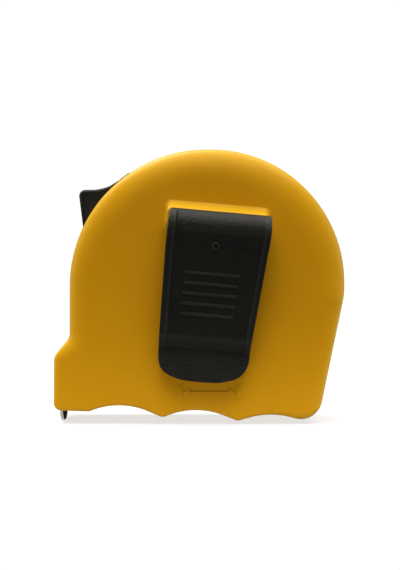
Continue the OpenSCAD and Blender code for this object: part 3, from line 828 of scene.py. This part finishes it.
def end_hook():
    """One steel sheet: a tongue along the blade, a tight bend and a tab that narrows to a round tip."""
    bend, count = 0.9, 16
    back = HOOK_X + HOOK_T                  # face of the tab towards the case
    rows = []                               # (x, half width, height or None on the cup, drop below the cup)
    for i in range(9):                      # tongue, from its free end to the bend
        half = 7.4
        if i < 1.5:
            half -= 0.9 * (1 - i / 1.5) ** 2
        if i > 6:
            half += (BLADE_HALF - 7.4) * ((i - 6) / 2) ** 2
        rows.append((HOOK_X + HOOK_L - (HOOK_L - HOOK_T - bend) * i / 8, half, None, 0.0))
    for i in range(1, 8):                   # bend
        t = math.radians(90 * i / 8)
        rows.append((back + bend * (1 - math.sin(t)), BLADE_HALF, None, bend * (1 - math.cos(t))))
    tab_top, tip = SHOULDER_Z + 1.2, 0.0
    for i in range(20):                     # tab, down to the tip
        z = tab_top + (tip - tab_top) * math.sin(math.radians(90 * i / 19))
        rows.append((back, tab_half(z), z, 0.0))
    verts, faces, n = [], [], count + 1
    for x, half, z, drop in rows:
        for j in range(count + 1):
            y = half * (2 * j / count - 1)
            verts.append((x, CASE_Y + y, cup(y, 0.0) - drop if z is None else z))
    for i in range(len(rows) - 1):
        for j in range(count):
            faces.append((i * n + j, i * n + j + 1, (i + 1) * n + j + 1, (i + 1) * n + j))
    sheet = mesh_object("end_hook_sheet", verts, faces)
    thick = sheet.modifiers.new("thickness", "SOLIDIFY")
    thick.thickness = HOOK_T * MM
    thick.offset = 1.0
    thick.use_even_offset = True
    apply_modifiers(sheet)
    return sheet


def tab_half(z):
    """Half width of the hook's tab at height z: straight shoulders, then a taper to a round tip."""
    round_below, tip_half, round_in = 3.4 * 0.55, 4.8, 2.8
    if z >= SHOULDER_Z:
        return BLADE_HALF
    taper = tip_half + (BLADE_HALF - tip_half) * (z / SHOULDER_Z)
    if z < round_below:
        k = z / round_below
        return max(0.6, taper - round_in * (1 - math.sqrt(max(0.0, 1 - (1 - k) ** 2))))
    return taper


def domed_rivets():
    """Cold-headed rivets on the blade's end, round above and flatter below."""
    verts, faces, count = [], [], 24
    # from the top of the head down: (radius, height over the blade's underside)
    profile = [(0.02, 0.74), (0.7, 0.70), (1.3, 0.56), (1.7, 0.36), (1.85, 0.30), (1.2, 0.25),
               (1.2, -HOOK_T - 0.1), (2.0, -HOOK_T - 0.12), (2.05, -HOOK_T - 0.3),
               (1.6, -HOOK_T - 0.5), (0.02, -HOOK_T - 0.54)]
    for dx, turn in RIVETS:
        about = Matrix.Rotation(math.radians(turn), 3, "X")
        base = len(verts)
        for radius, height in profile:
            for i in range(count):
                t = 2 * math.pi * i / count
                p = about @ Vector((radius * math.cos(t), radius * math.sin(t), height - CUP_R))
                verts.append((BLADE_END_X + dx + p.x, CASE_Y + p.y, BLADE_Z + CUP_R + p.z))
        for k in range(len(profile) - 1):
            for i in range(count):
                j = (i + 1) % count
                faces.append((base + k * count + i, base + k * count + j,
                              base + (k + 1) * count + j, base + (k + 1) * count + i))
        faces.append(tuple(base + i for i in range(count)))
        faces.append(tuple(base + (len(profile) - 1) * count + i for i in range(count)))
    return mesh_object("domed_rivets", verts, faces)


hook = end_hook()
soften(hook, 0.14, 2, 50, 40)
place(hook, "hook", MATERIALS["hook_steel"], "hook_steel", "end_hook")
rivets = domed_rivets()
shade(rivets, 40)
place(rivets, "blade", MATERIALS["rivet_metal"], "rivet_metal", "hook_rivets")


# ======== Figures on the blade ========
INK_RISE = -0.215               # just over the blade's upper face, as cup() counts it
INK_T = 0.02


def figure(text, x):
    """One number of the scale, laid on the hollow of the blade at its centimetre mark."""
    curve = bpy.data.curves.new("figure_" + text, "FONT")
    curve.body = text
    curve.size = 5.2 * MM
    curve.align_x = "CENTER"
    curve.align_y = "CENTER"
    obj = bpy.data.objects.new("figure_" + text, curve)
    bpy.context.scene.collection.objects.link(obj)
    bpy.context.view_layer.update()
    mesh = bpy.data.meshes.new_from_object(obj.evaluated_get(bpy.context.evaluated_depsgraph_get()))
    bpy.data.objects.remove(obj)
    piece = bpy.data.objects.new("figure_" + text, mesh)
    bpy.context.scene.collection.objects.link(piece)
    for vertex in mesh.vertices:
        y, along = vertex.co.x / MM, vertex.co.y / MM
        vertex.co = ((x - along) * MM, (CASE_Y + y) * MM, cup(y, INK_RISE) * MM)
    return piece


for number in range(1, 6):
    digit = figure(str(number), HOOK_X + 10 * number)
    thick = digit.modifiers.new("ink", "SOLIDIFY")
    thick.thickness = INK_T * MM
    apply_modifiers(digit)
    place(digit, "blade", MATERIALS["lock_black"], "blade_enamel")


# ======== CAD nodes that stay: rounded edges and even shading ========
KEPT_EDGES = {
    "case_screws": 0.12, "hook_bumper": 0.2, "lock_slide": 0.15, "face_label": 0.05, "brake_pad": 0.2,
}
for node, obj in frame["nodes"].items():
    if obj.hide_render:
        continue
    weld = obj.modifiers.new("weld", "WELD")
    weld.merge_threshold = 0.001 * MM
    if node in KEPT_EDGES:
        edge = obj.modifiers.new("edges", "BEVEL")
        edge.width = KEPT_EDGES[node] * MM
        edge.segments = 2
        edge.limit_method = "ANGLE"
        edge.angle_limit = math.radians(40)


# ======== Floor, light and camera, in metres ========
# cut short in front, so that it doesn't light the clip's side from below
FLOOR_SIDE, FLOOR_FRONT, FLOOR_BACK = 0.5, -0.042, 0.9
floor_mesh = bpy.data.meshes.new("floor")
floor_mesh.from_pydata([(-FLOOR_SIDE, FLOOR_FRONT, 0), (FLOOR_SIDE, FLOOR_FRONT, 0),
                        (FLOOR_SIDE, FLOOR_BACK, 0), (-FLOOR_SIDE, FLOOR_BACK, 0)], [], [(0, 1, 2, 3)])
floor = bpy.data.objects.new("floor", floor_mesh)
bpy.context.scene.collection.objects.link(floor)
paper = Shader("floor_paper", (0.26, 0.26, 0.26), 0.9, Specular_IOR_Level=0.0,
               Emission_Color=(1.0, 1.0, 1.0, 1.0), Emission_Strength=0.70)
paper.link(paper.mix(paper.noise(40, 2), (0.255, 0.255, 0.255), (0.265, 0.265, 0.265)), "Base Color")
floor_mesh.materials.append(paper.material)

world = bpy.data.worlds.new("studio")
bpy.context.scene.world = world
world.use_nodes = True
tree = world.node_tree
background = next(n for n in tree.nodes if n.type == "BACKGROUND")
background.inputs["Color"].default_value = (1.0, 1.0, 1.0, 1.0)
# white where the camera sees it, and dim as a light
ray = tree.nodes.new("ShaderNodeLightPath")
level = tree.nodes.new("ShaderNodeMapRange")
level.inputs["To Min"].default_value = 0.17
level.inputs["To Max"].default_value = 1.05
tree.links.new(ray.outputs["Is Camera Ray"], level.inputs["Value"])
tree.links.new(level.outputs["Result"], background.inputs["Strength"])

CENTRE = (0, 0, 0.034)


def softbox(name, location, size, energy):
    """A square soft light that faces the middle of the object."""
    light = bpy.data.lights.new(name, "AREA")
    light.shape = "RECTANGLE"
    light.size = light.size_y = size
    light.energy = energy
    obj = bpy.data.objects.new(name, light)
    bpy.context.scene.collection.objects.link(obj)
    obj.location = location
    obj.rotation_euler = (Vector(CENTRE) - Vector(location)).to_track_quat("-Z", "Y").to_euler()


sky = bpy.data.lights.new("ceiling", "SUN")
sky.energy = 3.6
sky.angle = math.radians(75)
sky_obj = bpy.data.objects.new("ceiling", sky)
sky_obj.rotation_euler = (0, math.radians(3), 0)
bpy.context.scene.collection.objects.link(sky_obj)
softbox("key", (-0.27, 0.20, 0.60), 0.45, 3.4)
softbox("front", (0.0, -0.55, 0.75), 0.6, 3.5)
softbox("right", (0.75, 0.10, 0.20), 0.6, 1.2)
softbox("left", (-0.75, 0.0, 0.20), 0.6, 1.3)

camera_data = bpy.data.cameras.new("camera")
camera_data.sensor_fit = "VERTICAL"
camera_data.sensor_height = 24
camera_data.lens = 68.4
camera_data.clip_start = 0.01
camera = bpy.data.objects.new("camera", camera_data)
camera.location = (0.0001, -0.4115, 0.0343)
camera.rotation_euler = (math.radians(90), 0, 0)
bpy.context.scene.collection.objects.link(camera)
bpy.context.scene.camera = camera
bpy.context.scene.view_settings.view_transform = "Standard"
